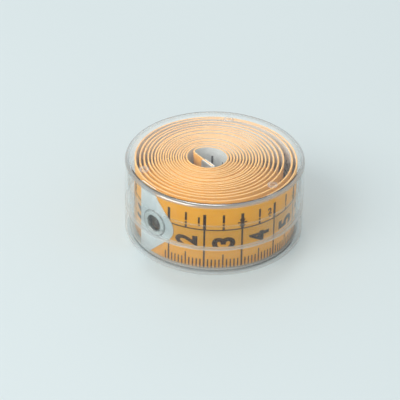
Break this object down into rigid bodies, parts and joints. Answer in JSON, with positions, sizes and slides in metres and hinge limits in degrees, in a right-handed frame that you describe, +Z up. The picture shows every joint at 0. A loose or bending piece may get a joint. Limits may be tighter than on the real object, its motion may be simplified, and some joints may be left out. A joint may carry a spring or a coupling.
{
  "type": "rolled tape measure in case",
  "caption": "Soft measuring tape rolled up in a round clear case, with a lift-off lid, a folded metal clip and an eyelet on the tape's outer end.",
  "frame": {"origin": "centre of the case's underside, which is the bottom centre of the bounding box", "axes": "+Z up through the round case; -Y is the front, +X the right; the tape's outer end with its clip lies at the front left"},
  "size_m": [0.0484, 0.0484, 0.022],
  "materials": {
    "clear_case": "clear moulded polystyrene, glossy, lightly scuffed",
    "tape_coated_fibreglass": "satin vinyl-coated fibreglass, orange outside and pale grey inside, with dark print",
    "tinned_clip": "folded tinned sheet, satin",
    "nickel_eyelet": "rolled nickel-plated eyelet, bright"
  },
  "bodies": {
    "case_base": {"case_base": "clear_case"},
    "tape_roll": {"tape": "tape_coated_fibreglass", "outer_end_clip": "tinned_clip", "outer_eyelet": "nickel_eyelet", "inner_end_clip": "tinned_clip"},
    "case_lid": {"case_lid": "clear_case"}
  },
  "joints": [
    {"name": "roll_lift", "type": "slide", "parent": "case_base", "child": "tape_roll", "axis": [0, 0, 1], "range_m": [0, 0.02]},
    {"name": "lid_lift", "type": "slide", "parent": "tape_roll", "child": "case_lid", "axis": [0, 0, 1], "range_m": [0, 0.02]}
  ]
}
